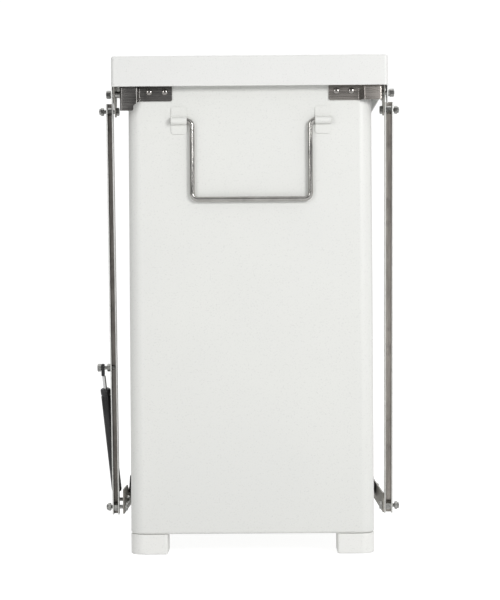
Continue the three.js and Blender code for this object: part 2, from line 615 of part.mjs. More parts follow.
place('damper_top_nut', hexRing(DAMPER_HEAD, 1, [damperNut, damperNut + NUT.thin]), MATERIAL.zinc);
place('damper_bottom_bolt', hexBolt(DAMPER_FOOT, 1, DAMPER.bottomHead, damperFootNut - NUT.tip), MATERIAL.zinc);
place('damper_bottom_nut', hexRing(DAMPER_FOOT, 1, [damperFootNut, damperFootNut + NUT.thin]), MATERIAL.zinc);

// ---------------------------------------------------------------- wire handle on the back
function bailHandle() {
  const { wireR, pivot, halfWidth, drop, end, bendR, sides } = HANDLE;
  const bendSteps = 5;
  const path = [];
  const add = (x, z, dx, dz) => path.push({
    at: new THREE.Vector3(x + REAR_SHIFT, pivot.x, z), along: new THREE.Vector3(dx, 0, dz),
  });
  const bend = (centreX, centreZ, from, sweep) => {
    for (let step = 0; step <= bendSteps; step++) {
      const angle = from + sweep * step / bendSteps;
      const turn = Math.sign(sweep);
      add(centreX + bendR * Math.cos(angle), centreZ + bendR * Math.sin(angle),
        -turn * Math.sin(angle), turn * Math.cos(angle));
    }
  };
  const low = pivot.y - drop;
  add(end, pivot.y, -1, 0);
  bend(halfWidth + bendR, pivot.y - bendR, Math.PI / 2, Math.PI / 2);
  bend(halfWidth - bendR, low + bendR, 0, -Math.PI / 2);
  bend(-halfWidth + bendR, low + bendR, -Math.PI / 2, -Math.PI / 2);
  bend(-halfWidth - bendR, pivot.y - bendR, 0, Math.PI / 2);
  add(-end, pivot.y, -1, 0);
  return wire(path, wireR, sides);
}

// A strap whose middle is pressed outwards into a half-round bearing for the wire.
function handleLoop(side) {
  const { from, to, bottom, top, sheet } = LOOP;
  const { wireR, pivot } = HANDLE;
  const back = BODY.half + PLAY;
  const inner = wireR + PLAY;
  const arc = (radius, start, sweep) => circlePoints(pivot, radius, CORNER_STEPS * 2, start, sweep);
  const points = [
    new THREE.Vector2(back, top), new THREE.Vector2(back, pivot.y + inner),
    ...arc(inner, Math.PI / 2, -Math.PI),
    new THREE.Vector2(back, pivot.y - inner), new THREE.Vector2(back, bottom),
    new THREE.Vector2(back + sheet, bottom),
    new THREE.Vector2(back + sheet, pivot.y - inner - sheet),
    ...arc(inner + sheet, -Math.PI / 2, Math.PI),
    new THREE.Vector2(back + sheet, pivot.y + inner + sheet), new THREE.Vector2(back + sheet, top),
  ];
  return sideways(outline(points), side, [from, to]).translate(REAR_SHIFT, 0, 0);
}

place('rear_handle', bailHandle(), MATERIAL.stainless);
for (const { side, word } of SIDES) place(`handle_loop_${word}`, handleLoop(side), MATERIAL.bodyPaint);

export default bin;
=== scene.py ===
"""The looks of a step-on waste receptacle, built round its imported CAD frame. Metres, +Z up, hinge at +Y."""

import json
import math

import bmesh
import bpy
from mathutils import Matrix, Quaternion, Vector


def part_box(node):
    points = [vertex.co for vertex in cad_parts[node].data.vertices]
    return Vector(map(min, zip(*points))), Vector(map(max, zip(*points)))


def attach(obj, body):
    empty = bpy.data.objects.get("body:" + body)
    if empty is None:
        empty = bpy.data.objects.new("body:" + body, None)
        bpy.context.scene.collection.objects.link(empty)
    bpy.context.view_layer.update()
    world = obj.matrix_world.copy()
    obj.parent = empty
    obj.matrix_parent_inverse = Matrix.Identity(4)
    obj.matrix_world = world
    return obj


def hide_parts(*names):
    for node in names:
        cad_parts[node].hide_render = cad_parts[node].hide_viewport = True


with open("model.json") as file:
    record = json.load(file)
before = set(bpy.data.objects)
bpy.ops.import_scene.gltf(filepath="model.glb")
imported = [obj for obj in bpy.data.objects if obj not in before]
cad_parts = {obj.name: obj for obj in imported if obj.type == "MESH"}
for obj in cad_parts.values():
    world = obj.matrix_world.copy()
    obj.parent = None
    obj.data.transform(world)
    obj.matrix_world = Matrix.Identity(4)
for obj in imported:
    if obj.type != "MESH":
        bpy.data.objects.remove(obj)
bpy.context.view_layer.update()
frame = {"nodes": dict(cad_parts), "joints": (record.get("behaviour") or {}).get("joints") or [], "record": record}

MM = 0.001
SIDES = (("right", 1), ("left", -1))
JOINTS = {joint["name"]: joint for joint in frame["joints"]}


def middle(node):
    low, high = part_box(node)
    return (low + high) / 2


BODY_LOW, BODY_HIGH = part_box("body_shell")
ORIGIN = Vector(((BODY_LOW.x + BODY_HIGH.x) / 2, (BODY_LOW.y + BODY_HIGH.y) / 2, 0))


def at(x, y, z):
    """A point in the frame, from millimetres to the right of, behind and above the middle of the body."""
    return ORIGIN + Vector((x, y, z)) * MM


def own(point):
    """The opposite of at(): millimetres from the middle of the body."""
    return (Vector(point) - ORIGIN) / MM


def own_box(node):
    """The low and high corners of a CAD node, in millimetres from the middle of the body."""
    return [own(corner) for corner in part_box(node)]


def ends(low, high, side):
    """The X positions of a box's two ends, the one nearer the body first."""
    return (low.x, high.x) if side > 0 else (high.x, low.x)


# ---------------------------------------------------------------- node helpers
def new_material(name):
    material = bpy.data.materials.new(name)
    material.use_nodes = True
    nodes, links = material.node_tree.nodes, material.node_tree.links
    return material, nodes, links, nodes["Principled BSDF"]


def noise(nodes, links, scale, detail=4.0, stretch=(1, 1, 1), rough=0.55):
    coordinates = nodes.new("ShaderNodeTexCoord")
    mapping = nodes.new("ShaderNodeMapping")
    mapping.inputs["Scale"].default_value = stretch
    texture = nodes.new("ShaderNodeTexNoise")
    texture.inputs["Scale"].default_value = scale
    texture.inputs["Detail"].default_value = detail
    texture.inputs["Roughness"].default_value = rough
    links.new(coordinates.outputs["Object"], mapping.inputs["Vector"])
    links.new(mapping.outputs["Vector"], texture.inputs["Vector"])
    return texture.outputs["Fac"]


def spread(nodes, links, value, low, high, out_low, out_high):
    """Maps a value from one range to another."""
    ranged = nodes.new("ShaderNodeMapRange")
    for key, number in zip(("From Min", "From Max", "To Min", "To Max"), (low, high, out_low, out_high)):
        ranged.inputs[key].default_value = number
    links.new(value, ranged.inputs["Value"])
    return ranged.outputs["Result"]


def tint(nodes, links, factor, first, second):
    """A colour between two, by a factor."""
    mix = nodes.new("ShaderNodeMix")
    mix.data_type = "RGBA"
    colours = [socket for socket in mix.inputs if socket.type == "RGBA"]
    for socket, colour in zip(colours, (first, second)):
        if isinstance(colour, bpy.types.NodeSocket):
            links.new(colour, socket)
        else:
            socket.default_value = (*colour, 1)
    links.new(factor, mix.inputs["Factor"])
    return next(socket for socket in mix.outputs if socket.type == "RGBA")


def bump(nodes, links, shader, height, strength, depth, under=None):
    node = nodes.new("ShaderNodeBump")
    node.inputs["Strength"].default_value = strength
    node.inputs["Distance"].default_value = depth
    links.new(height, node.inputs["Height"])
    if under:
        links.new(under, node.inputs["Normal"])
    links.new(node.outputs["Normal"], shader.inputs["Normal"])
    return node.outputs["Normal"]


# ---------------------------------------------------------------- materials
def powder_coat(name, light, dark, roughness=0.42):
    """Fine orange-peel paint with slight cloudiness and a few duller patches."""
    material, nodes, links, shader = new_material(name)
    cloud = spread(nodes, links, noise(nodes, links, 4.0, 3), 0.35, 0.65, 0, 1)
    speck = spread(nodes, links, noise(nodes, links, 420.0, 2), 0.30, 0.42, 0, 1)
    base = tint(nodes, links, cloud, light, dark)
    grime = tuple(channel * 0.93 for channel in dark)
    links.new(tint(nodes, links, speck, grime, base), shader.inputs["Base Color"])
    dull = spread(nodes, links, noise(nodes, links, 22.0, 5), 0.3, 0.7, roughness - 0.06, roughness + 0.08)
    links.new(dull, shader.inputs["Roughness"])
    peel = bump(nodes, links, shader, noise(nodes, links, 650.0, 2), 0.10, 0.0003)
    bump(nodes, links, shader, noise(nodes, links, 7.0, 2), 0.10, 0.003, peel)
    shader.inputs["Specular IOR Level"].default_value = 0.45
    shader.inputs["Coat Weight"].default_value = 0.12
    shader.inputs["Coat Roughness"].default_value = 0.25
    return material


def brushed_steel(name, colour, grain, roughness=0.33, contrast=0.16, streak=0.35):
    """Mill-finish sheet: fine scratches along the grain, stains and slightly polished patches."""
    material, nodes, links, shader = new_material(name)
    scratches = noise(nodes, links, 1.0, 6, grain, 0.65)
    broad = noise(nodes, links, 1.0, 3, tuple(number * 0.12 for number in grain))
    stain = noise(nodes, links, 38.0, 5)
    light = tuple(min(1, channel * (1 + contrast)) for channel in colour)
    dark = tuple(channel * (1 - contrast) for channel in colour)
    streaks = tint(nodes, links, spread(nodes, links, broad, 0.35, 0.65, 0, 1), dark, light)
    deep = tuple(channel * 0.72 for channel in colour)
    spots = spread(nodes, links, stain, 0.30, 0.48, 0, 1)
    links.new(tint(nodes, links, spots, deep, streaks), shader.inputs["Base Color"])
    links.new(spread(nodes, links, scratches, 0.3, 0.7, roughness - 0.07, roughness + 0.11),
              shader.inputs["Roughness"])
    fine = bump(nodes, links, shader, scratches, streak, 0.00006)
    bump(nodes, links, shader, stain, 0.12, 0.0004, fine)
    shader.inputs["Metallic"].default_value = 1
    return material


def painted_highlight_cut_edge(name, colour):
    """The finely torn cut edge of sheet metal. Its near-white colour is partly the bare steel's own and partly a
    painted highlight, for the bright line that light puts along the links' flange edges.
    """
    material, nodes, links, shader = new_material(name)
    torn = noise(nodes, links, 1.0, 4, (900, 900, 60))
    dark = tuple(channel * 0.8 for channel in colour)
    links.new(tint(nodes, links, spread(nodes, links, torn, 0.35, 0.65, 0, 1), colour, dark),
              shader.inputs["Base Color"])
    links.new(spread(nodes, links, torn, 0.3, 0.7, 0.28, 0.45), shader.inputs["Roughness"])
    bump(nodes, links, shader, torn, 0.2, 0.0001)
    shader.inputs["Metallic"].default_value = 0.35
    return material


def plated(name, colour, roughness, mottle=0.25):
    """Plated or turned metal with a mottled shine and darker tarnish in spots."""
    material, nodes, links, shader = new_material(name)
    spots = spread(nodes, links, noise(nodes, links, 260.0, 5), 0.35, 0.7, 0, 1)
    dark = tuple(channel * (1 - mottle) for channel in colour)
    links.new(tint(nodes, links, spots, colour, dark), shader.inputs["Base Color"])
    polish = noise(nodes, links, 900.0, 4)
    links.new(spread(nodes, links, polish, 0.3, 0.7, roughness - 0.05, roughness + 0.12),
              shader.inputs["Roughness"])
    bump(nodes, links, shader, noise(nodes, links, 1500.0, 3), 0.08, 0.0002)
    shader.inputs["Metallic"].default_value = 1
    return material


def moulded(name, light, dark, roughness, texture_scale, texture_strength, depth=0.0004):
    """Moulded plastic, rubber or enamel, with a fine texture and scuffs."""
    material, nodes, links, shader = new_material(name)
    scuffs = spread(nodes, links, noise(nodes, links, 60.0, 6, (1, 1, 0.25)), 0.48, 0.72, 0, 1)
    links.new(tint(nodes, links, scuffs, dark, light), shader.inputs["Base Color"])
    worn = noise(nodes, links, 35.0, 4)
    links.new(spread(nodes, links, worn, 0.3, 0.7, roughness - 0.08, roughness + 0.1),
              shader.inputs["Roughness"])
    bump(nodes, links, shader, noise(nodes, links, texture_scale, 3), texture_strength, depth)
    return material


# how finely the noise of a brushed surface repeats per metre along X, Y and Z: coarse along the grain only
ALONG_Z, ALONG_X, ALONG_Y = (1500, 1500, 14), (14, 1500, 1500), (1500, 14, 1500)
DRAWN = (260, 260, 30)
BODY_PAINT = powder_coat("powder_coat_body", (0.800, 0.805, 0.775), (0.785, 0.790, 0.765))
LID_PAINT = powder_coat("powder_coat_lid", (0.800, 0.802, 0.784), (0.786, 0.789, 0.772), 0.40)
FOOT_PAINT = powder_coat("powder_coat_foot", (0.880, 0.880, 0.852), (0.862, 0.862, 0.836), 0.48)
STRAP_PAINT = powder_coat("powder_coat_strap", (0.800, 0.805, 0.775), (0.780, 0.785, 0.758), 0.40)
# the right bracket's steel is a darker copy of the left one's: painted shade for the side that gets less light
BRACKET_STEEL_WITH_PAINTED_SHADE = {
    "right": brushed_steel("sheet_steel_bracket_painted_shade", (0.185, 0.179, 0.172), ALONG_X, 0.28, 0.14, 0.2),
    "left": brushed_steel("sheet_steel_bracket", (0.38, 0.355, 0.33), ALONG_X, 0.27, 0.08, 0.18),
}
# the right link's steel is a darker copy of the left one's: painted shade for the side that gets less light
LINK_STEEL_WITH_PAINTED_SHADE = {
    "right": brushed_steel("sheet_steel_link_painted_shade", (0.215, 0.20, 0.184), ALONG_Z, 0.34),
    "left": brushed_steel("sheet_steel_link", (0.375, 0.35, 0.32), ALONG_Z, 0.32),
}
# near-white cut edges of the links: partly bare steel, partly a painted highlight along the flange edges
CUT_EDGE_PAINTED_HIGHLIGHT = painted_highlight_cut_edge("cut_edge_painted_highlight", (0.84, 0.84, 0.81))
LEVER_STEEL = brushed_steel("sheet_steel_lever", (0.40, 0.39, 0.36), ALONG_Z)
ARM_STEEL = brushed_steel("sheet_steel_arm", (0.40, 0.385, 0.355), ALONG_Y, 0.42)
TREAD_STEEL = brushed_steel("sheet_steel_tread", (0.42, 0.41, 0.385), ALONG_X)
WIRE_STEEL = brushed_steel("drawn_wire", (0.46, 0.45, 0.43), DRAWN, 0.16, 0.1, 0.12)
ZINC = plated("zinc_plate", (0.46, 0.46, 0.44), 0.15, 0.5)
RIVET_STEEL = plated("rivet_steel", (0.34, 0.325, 0.31), 0.12, 0.15)
CHROME = plated("ground_chrome", (0.72, 0.72, 0.72), 0.12, 0.08)
ENAMEL = moulded("black_enamel", (0.035, 0.035, 0.036), (0.012, 0.012, 0.013), 0.32, 500, 0.10)
NYLON = moulded("black_nylon", (0.045, 0.045, 0.045), (0.018, 0.018, 0.018), 0.5, 900, 0.2)
RUBBER = moulded("ribbed_rubber", (0.060, 0.060, 0.058), (0.022, 0.022, 0.022), 0.75, 1200, 0.35)
LINER = moulded("liner_plastic", (0.150, 0.160, 0.165), (0.105, 0.115, 0.120), 0.48, 700, 0.25)


# ---------------------------------------------------------------- mesh helpers
SAME_POINT = 1e-7


def piece(name, mesh_data, material, body, replaced=(), edge=0.0, steps=2, sharp=40, weighted=False,
          rim=None):
    """Turns a bmesh into a piece that rides on a body and stands for CAD nodes. edge is the rounding of its
    edges in millimetres, and rim is a second material for the cut edges of folded sheet."""
    bmesh.ops.remove_doubles(mesh_data, verts=mesh_data.verts, dist=SAME_POINT)
    bmesh.ops.recalc_face_normals(mesh_data, faces=mesh_data.faces)
    mesh = bpy.data.meshes.new(name)
    mesh_data.to_mesh(mesh)
    mesh_data.free()
    mesh.shade_smooth()
    mesh.set_sharp_from_angle(angle=math.radians(sharp))
    mesh.materials.append(material)
    if rim:
        mesh.materials.append(rim)
    else:
        mesh.polygons.foreach_set("material_index", [0] * len(mesh.polygons))
    made = bpy.data.objects.new(name, mesh)
    bpy.context.scene.collection.objects.link(made)
    if edge:
        round_edges(made, edge, steps, sharp)
    if weighted:
        made.modifiers.new("normals", "WEIGHTED_NORMAL").keep_sharp = True
    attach(made, body)
    if replaced:
        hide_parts(*replaced)


def round_edges(made, width, steps=2, sharp=40):
    bevel = made.modifiers.new("rounding", "BEVEL")
    bevel.width = width * MM
    bevel.segments = steps
    bevel.limit_method = "ANGLE"
    bevel.angle_limit = math.radians(sharp)
    bevel.harden_normals = True
    bevel.use_clamp_overlap = True


def dress(node, material, edge=0.35):
    """A CAD node that stays: its seams are welded, its edges rounded, and it gets its material."""
    made = frame["nodes"][node]
    made.data.materials.clear()
    made.data.materials.append(material)
    made.modifiers.new("seams", "WELD").merge_threshold = 0.01 * MM
    round_edges(made, edge)


def skin(rings, closed=False, capped=True):
    """A skin over rings of equal length. A closed one joins its last ring to its first."""
    made = bmesh.new()
    rows = [[made.verts.new(point) for point in ring] for ring in rings]
    count = len(rings[0])
    pairs = list(zip(rows, rows[1:]))
    if closed:
        pairs.append((rows[-1], rows[0]))
    for low, high in pairs:
        for i in range(count):
            j = (i + 1) % count
            made.faces.new((low[i], low[j], high[j], high[i]))
    if capped and not closed:
        made.faces.new(rows[0][::-1])
        made.faces.new(rows[-1])
    return made


def merged(*parts):
    """Several bmeshes as one."""
    whole = bmesh.new()
    for part in parts:
        mesh = bpy.data.meshes.new("part")
        part.to_mesh(mesh)
        whole.from_mesh(mesh)
        bpy.data.meshes.remove(mesh)
        part.free()
    return whole


def square_ring(half_x, half_y, radius, height, middle_y=0.0, steps=10):
    """A level rounded rectangle in millimetres about the body's middle, anticlockwise from above."""
    ring = []
    for corner in range(4):
        sign_x, sign_y = (1 if corner in (0, 3) else -1), (1 if corner < 2 else -1)
        for step in range(steps + 1):
            angle = (corner + step / steps) * math.pi / 2
            ring.append(at(sign_x * (half_x - radius) + radius * math.cos(angle),
                           middle_y + sign_y * (half_y - radius) + radius * math.sin(angle), height))
    return ring


def turned(profile, start, axis, sides=32, hole=False):
    """A turned piece. The profile lists (radius, distance along the axis), in millimetres. A piece with a
    hole through it has a closed profile, and any other starts and ends at radius 0."""
    turn = Vector((0, 0, 1)).rotation_difference(Vector(axis))
    start = Vector(start)

    def ring(radius, along):
        return [start + turn @ (Vector((radius * math.cos(2 * math.pi * i / sides),
                                        radius * math.sin(2 * math.pi * i / sides), along)) * MM)
                for i in range(sides)]

    if hole:
        return skin([ring(*entry) for entry in profile], closed=True)
    made = skin([ring(*entry) for entry in profile if entry[0] > 0], capped=False)
    rows = [made.verts[:][k:k + sides] for k in (0, len(made.verts) - sides)]
    for row, tip in zip(rows, (profile[0], profile[-1])):
        hub = made.verts.new(start + turn @ Vector((0, 0, tip[1] * MM)))
        for i in range(sides):
            made.faces.new((hub, row[i], row[(i + 1) % sides]))
    return made


BOLT_RADIUS, BOLT_PITCH, BOLT_HOLE, BOLT_HEAD = 3.175, 1.27, 3.45, 4.5
PLAIN_SHARE, THREAD_START = 0.45, 0.44  # of a bolt's length under the head: the two overlap a little
PIVOT_NUT_HEX = 7.2  # the thickness of the hinge nuts' hexagons
HEX_FACE = 0.93  # the round end face of a nut, as a share of the distance to its flats
CHAMFER = math.tan(math.radians(28))


def hexagon(near, far, radius, bore, chamfer_near, chamfer_far, centre, per_side=6):
    """A nut or bolt head along X with rounded-off corners, from one X position to another, in metres."""
    flat = radius * math.cos(math.pi / 6)
    face = flat * HEX_FACE
    count = 6 * per_side

    def ring(size, x, lift=0):
        points = []
        for i in range(count):
            angle = 2 * math.pi * i / count + math.pi / 6
            off = (angle - math.pi / 6) % (math.pi / 3) - math.pi / 6
            reach = flat / math.cos(off) if size is None else size
            points.append(Vector((x + lift * (reach - face) * CHAMFER,
                                  centre.y + reach * math.cos(angle), centre.z + reach * math.sin(angle))))
        return points

    sign = 1 if far > near else -1
    rings = []
    if bore:
        rings.append(ring(bore, near))
    if chamfer_near:
        rings.append(ring(face, near))
        rings.append(ring(None, near, sign))
    else:
        rings.append(ring(None, near))
    if chamfer_far:
        rings.append(ring(None, far, -sign))
        rings.append(ring(face, far))
    else:
        rings.append(ring(None, far))
    if bore:
        rings.append(ring(bore, far))
    return skin(rings, closed=bool(bore))


def thread(start, tip, sign):
    """The threaded end of a bolt along X, tip millimetres long, with a slightly domed tip."""
    root, dome, chamfer = 0.45, 0.6, 0.7
    profile = [(0, 0), (BOLT_RADIUS, 0)]
    for k in range(max(1, int(tip / BOLT_PITCH))):
        profile += [(BOLT_RADIUS, (k + 0.15) * BOLT_PITCH), (BOLT_RADIUS - root, (k + 0.5) * BOLT_PITCH),
                    (BOLT_RADIUS, (k + 0.85) * BOLT_PITCH)]
    shoulder = max(tip - dome, profile[-1][1] + 0.05)
    profile += [(BOLT_RADIUS, shoulder), (BOLT_RADIUS - chamfer, tip), (0, tip)]
    return turned(profile, start, (sign, 0, 0), 24)


def arc(centre, start, sweep, steps):
    """Points round a centre, from centre + start through an angle."""
    return [centre + Vector((start.x * math.cos(turn) - start.y * math.sin(turn),
                             start.x * math.sin(turn) + start.y * math.cos(turn)))
            for turn in (sweep * step / steps for step in range(steps + 1))]


def rounded_corner(before, corner, after, radius, steps):
    """The bend of a line at a corner between two other points."""
    corner = Vector(corner)
    enter, leave = (Vector(before) - corner).normalized(), (Vector(after) - corner).normalized()
    angle = enter.angle(leave)
    cut = radius / math.tan(angle / 2)
    centre = corner + (enter + leave).normalized() * radius / math.sin(angle / 2)
    start, end = corner + enter * cut - centre, corner + leave * cut - centre
    return arc(centre, start, -start.angle_signed(end), steps)


def plan_path(corners, radius, steps=5):
    """A line through corners with a round bend at each inner one, measured as in measured()."""
    points = [Vector(corners[0])]
    for before, corner, after in zip(corners, corners[1:], corners[2:]):
        points += rounded_corner(before, corner, after, radius, steps)
    points.append(Vector(corners[-1]))
    return measured(points)


def measured(points):
    """The points of a path, with the length up to each and the normal to the left of each."""
    lengths = [0.0]
    for before, after in zip(points, points[1:]):
        lengths.append(lengths[-1] + (after - before).length)
    normals = []
    for i in range(len(points)):
        heading = (points[min(i + 1, len(points) - 1)] - points[max(i - 1, 0)]).normalized()
        normals.append(Vector((-heading.y, heading.x)))
    return points, lengths, normals


def along(path, distance):
    """The point and the normal at a distance along a measured path."""
    points, lengths, normals = path
    for i in range(len(points) - 1):
        if distance <= lengths[i + 1] or i == len(points) - 2:
            share = (distance - lengths[i]) / (lengths[i + 1] - lengths[i])
            return points[i].lerp(points[i + 1], share), normals[i].lerp(normals[i + 1], share).normalized()


def rounded(corners, steps=5):
    """An outline whose corners are (x, y, radius)."""
    outline = []
    for i, (x, y, radius) in enumerate(corners):
        before, after = corners[i - 1], corners[(i + 1) % len(corners)]
        outline += rounded_corner(before[:2], (x, y), after[:2], radius, steps)
    return outline


def circle(x, y, radius, count=24):
    turns = [2 * math.pi * i / count for i in range(count)]
    return [Vector((x + radius * math.cos(turn), y + radius * math.sin(turn))) for turn in turns]


def folded(outline, holes, path, thickness, place):
    """Sheet metal: a flat outline with holes, whose first coordinate runs along a bent path. place() takes
    the path's two coordinates and the outline's second one, in millimetres, to a point in the frame. The
    cut edges get the second material."""
    flat = bmesh.new()
    for loop in [outline, *holes]:
        verts = [flat.verts.new((*point, 0)) for point in loop]
        for a, b in zip(verts, verts[1:] + verts[:1]):
            flat.edges.new((a, b))
    bmesh.ops.triangle_fill(flat, use_beauty=True, edges=flat.edges[:])
    for distance in path[1][1:-1]:
        geometry = flat.verts[:] + flat.edges[:] + flat.faces[:]
        bmesh.ops.bisect_plane(flat, geom=geometry, dist=1e-5, plane_co=(distance, 0, 0),
                               plane_no=(1, 0, 0))
    made = bmesh.new()
    layers = []
    for sign in (1, -1):
        layer = []
        for vert in flat.verts:
            point, normal = along(path, vert.co.x)
            moved = point + normal * sign * thickness / 2
            layer.append(made.verts.new(place(moved.x, moved.y, vert.co.y)))
        layers.append(layer)
    flat.verts.index_update()
    for face in flat.faces:
        indices = [vert.index for vert in face.verts]
        made.faces.new([layers[0][i] for i in indices])
        made.faces.new([layers[1][i] for i in reversed(indices)])
    for rim in flat.edges:
        if len(rim.link_faces) == 1:
            a, b = (vert.index for vert in rim.verts)
            made.faces.new((layers[0][a], layers[0][b], layers[1][b], layers[1][a])).material_index = 1
    flat.free()
    return made


def united(first, *others):
    """The union of closed bmeshes."""
    keep = []
    for part in (first, *others):
        bmesh.ops.remove_doubles(part, verts=part.verts, dist=SAME_POINT)
        bmesh.ops.recalc_face_normals(part, faces=part.faces)
        mesh = bpy.data.meshes.new("union")
        part.to_mesh(mesh)
        part.free()
        made = bpy.data.objects.new("union", mesh)
        bpy.context.scene.collection.objects.link(made)
        keep.append(made)
    for other in keep[1:]:
        modifier = keep[0].modifiers.new("union", "BOOLEAN")
        modifier.operation, modifier.solver, modifier.object = "UNION", "EXACT", other
    depsgraph = bpy.context.evaluated_depsgraph_get()
    whole = bmesh.new()
    whole.from_mesh(keep[0].evaluated_get(depsgraph).to_mesh())
    for made in keep:
        mesh = made.data
        bpy.data.objects.remove(made)
        bpy.data.meshes.remove(mesh)
    return whole


# ---------------------------------------------------------------- body, feet and liner
BODY_HALF_WIDTH = (BODY_HIGH.x - BODY_LOW.x) / 2 / MM
BODY_HALF = (BODY_HIGH.y - BODY_LOW.y) / 2 / MM
BODY_TOP, BODY_BOTTOM = BODY_HIGH.z / MM, BODY_LOW.z / MM
BODY_CORNER, BODY_EDGE, SHEET, RIM = 22, 4.5, 1.2, 9


def body_shell():
    def ring(inset, height):
        radius = max(BODY_CORNER - inset, 2)
        return square_ring(BODY_HALF_WIDTH - inset, BODY_HALF - inset, radius, height, steps=14)

    rings = []
    for step in range(7):
        angle = step / 6 * math.pi / 2
        inset, rise = BODY_EDGE * (1 - math.sin(angle)), BODY_EDGE * (1 - math.cos(angle))
        rings.append(ring(inset, BODY_BOTTOM + rise))
    for height in range(100, int(BODY_TOP), 96):
        rings.append(ring(0, height))
    rings += [ring(0, BODY_TOP - 1.6), ring(0.5, BODY_TOP - 0.45), ring(1.7, BODY_TOP)]
    rings += [ring(RIM, BODY_TOP), ring(RIM, BODY_TOP - SHEET), ring(SHEET, BODY_TOP - SHEET)]
    rings += [ring(SHEET, BODY_BOTTOM + BODY_EDGE), ring(BODY_EDGE, BODY_BOTTOM + SHEET)]
    piece("body_skin", skin(rings), BODY_PAINT, "bin_body", ["body_shell"], weighted=True)


FOOT_HALF, FOOT_CORNER = 29.5, 3.5


def foot(node):
    """A block whose outer corner follows the body's, and whose other corners are nearly square."""
    low, high = own_box(node)
    corners = [(low.x, low.y), (high.x, low.y), (high.x, high.y), (low.x, high.y)]
    shaped = []
    for x, y in corners:
        outer = abs(x) > BODY_HALF_WIDTH - 1 and abs(y) > BODY_HALF - 1
        shaped.append((x, y, BODY_CORNER if outer else FOOT_CORNER))
    centre = Vector(((low.x + high.x) / 2, (low.y + high.y) / 2))
    outline = rounded(shaped, 10)
    rings = []
    for inset, height in ((2.2, 0), (0.9, 0.35), (0.25, 1.1), (0, 2.2),
                          (0, high.z - 0.8), (0.25, high.z - 0.2), (0.8, high.z)):
        shrink = 1 - inset / FOOT_HALF
        rings.append([at(*(centre + (point - centre) * shrink), height) for point in outline])
    piece(node + "_block", skin(rings), FOOT_PAINT, "bin_body", [node], weighted=True)


def inner_liner():
    low, high = own_box("inner_liner")
    lip, top, floor = high.x, high.z, low.z
    neck, base, wall = 179.5, 172.0, 2.5
    seat, lip_base, inside = floor + 6, top - 2.4, floor + 8.5

    def ring(half, height, radius=18.0):
        return square_ring(half, half, radius, height, steps=10)

    shares = (0.33, 0.66, 1)
    rings = [ring(base - 6, floor, 14), ring(base - 1.8, floor + 1.8, 17), ring(base, seat)]
    rings += [ring(base + (neck - base) * share, seat + (lip_base - seat) * share) for share in shares]
    rings += [ring(lip - 0.6, lip_base), ring(lip, top - 1.8), ring(lip, top - 0.7), ring(lip - 0.7, top),
              ring(neck - wall, top)]
    rings += [ring(neck - wall - (neck - base) * share, top - (top - inside) * share) for share in shares]
    rings += [ring(base - wall - 5.5, floor + wall, 13)]
    piece("liner_bucket", skin(rings), LINER, "bin_body", ["inner_liner"], weighted=True)


body_shell()
inner_liner()
for word, _ in SIDES:
    foot(f"foot_front_{word}")
    foot(f"foot_rear_{word}")


# ---------------------------------------------------------------- hinge brackets and hardware
HINGE = own(JOINTS["lid_hinge"]["pos_m"])
BRACKET_SHEET, BRACKET_BOTTOM, BRACKET_CORNER = 2.0, 715.2, 2.8
PIN_HOLE, EAR_HOLE = 3.5, 3.6
STAND_OFF = 0.3  # the gap between pieces that touch on the real object
JOGGLE = {"right": (174.8, 177.0), "left": (172.3, 181.3)}  # where each bracket steps away from the body


def hinge_bracket(word, side):
    """A folded plate: flat on the body, one step outwards, then a bend forwards to the hinge pin. The right
    one has a tab that reaches lower."""
    low, high = own_box(f"hinge_bracket_{word}")
    inner, outer = (side * x for x in ends(low, high, side))
    seat, face = BODY_HALF + STAND_OFF + BRACKET_SHEET / 2, high.y - BRACKET_SHEET / 2
    bottom, front, top = BRACKET_BOTTOM, low.y, high.z
    step_in, step_out = JOGGLE[word]
    path = plan_path([(inner, seat), (step_in, seat), (step_out, face), (outer - BRACKET_SHEET / 2, face),
                      (outer - BRACKET_SHEET / 2, front)], 2.6, 8)
    total = path[1][-1]
    tab = [(57, bottom, 5), (65, bottom - 7, 5), (65.4, low.z, 2.6), (87, low.z, 2.2), (87.5, bottom, 1.2)]
    outline = rounded([(0, bottom, BRACKET_CORNER), *(tab if side > 0 else []), (total, bottom, 3),
                       (total, top, 3), (0, top, BRACKET_CORNER)])
    holes = [circle(total - (HINGE.y - front), HINGE.z, PIN_HOLE)]

    def place(x, y, z):
        return at(side * x, y, z)

    piece(f"hinge_plate_{word}", folded(outline, holes, path, BRACKET_SHEET, place), BRACKET_STEEL_WITH_PAINTED_SHADE[word],
          "bin_body", [f"hinge_bracket_{word}"], edge=0.3, sharp=50)


def hardware(node, ending, mesh_data, body, sharp=35, material=ZINC):
    piece(node + ending, mesh_data, material, body, [node], sharp=sharp)


def dome_rivet(node):
    low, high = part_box(node)
    centre = middle(node)
    radius, height, shank, flange = (high.x - low.x) / 2 / MM, 2.6, 2.4, 0.25
    seat = Vector((centre.x, high.y - height * MM, centre.z))
    profile = [(0, -6), (shank, -6), (shank, 0), (radius, 0), (radius, flange)]
    steps = 8
    for step in range(1, steps):
        angle = step / steps * math.pi / 2
        profile.append((radius * math.cos(angle), flange + (height - flange) * math.sin(angle)))
    profile.append((0, height))
    hardware(node, "_dome", turned(profile, seat, (0, 1, 0)), "bin_body", 60, RIVET_STEEL)


def bushing(node):
    low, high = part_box(node)
    centre = middle(node)
    length, radius, chamfer = (high.x - low.x) / MM, (high.z - low.z) / 2 / MM, 0.3
    profile = [(PIN_HOLE, 0), (radius - chamfer, 0), (radius, chamfer), (radius, length - chamfer),
               (radius - chamfer, length), (PIN_HOLE, length)]
    ring = turned(profile, (low.x, centre.y, centre.z), (1, 0, 0), hole=True)
    hardware(node, "_ring", ring, "bin_body", 40)


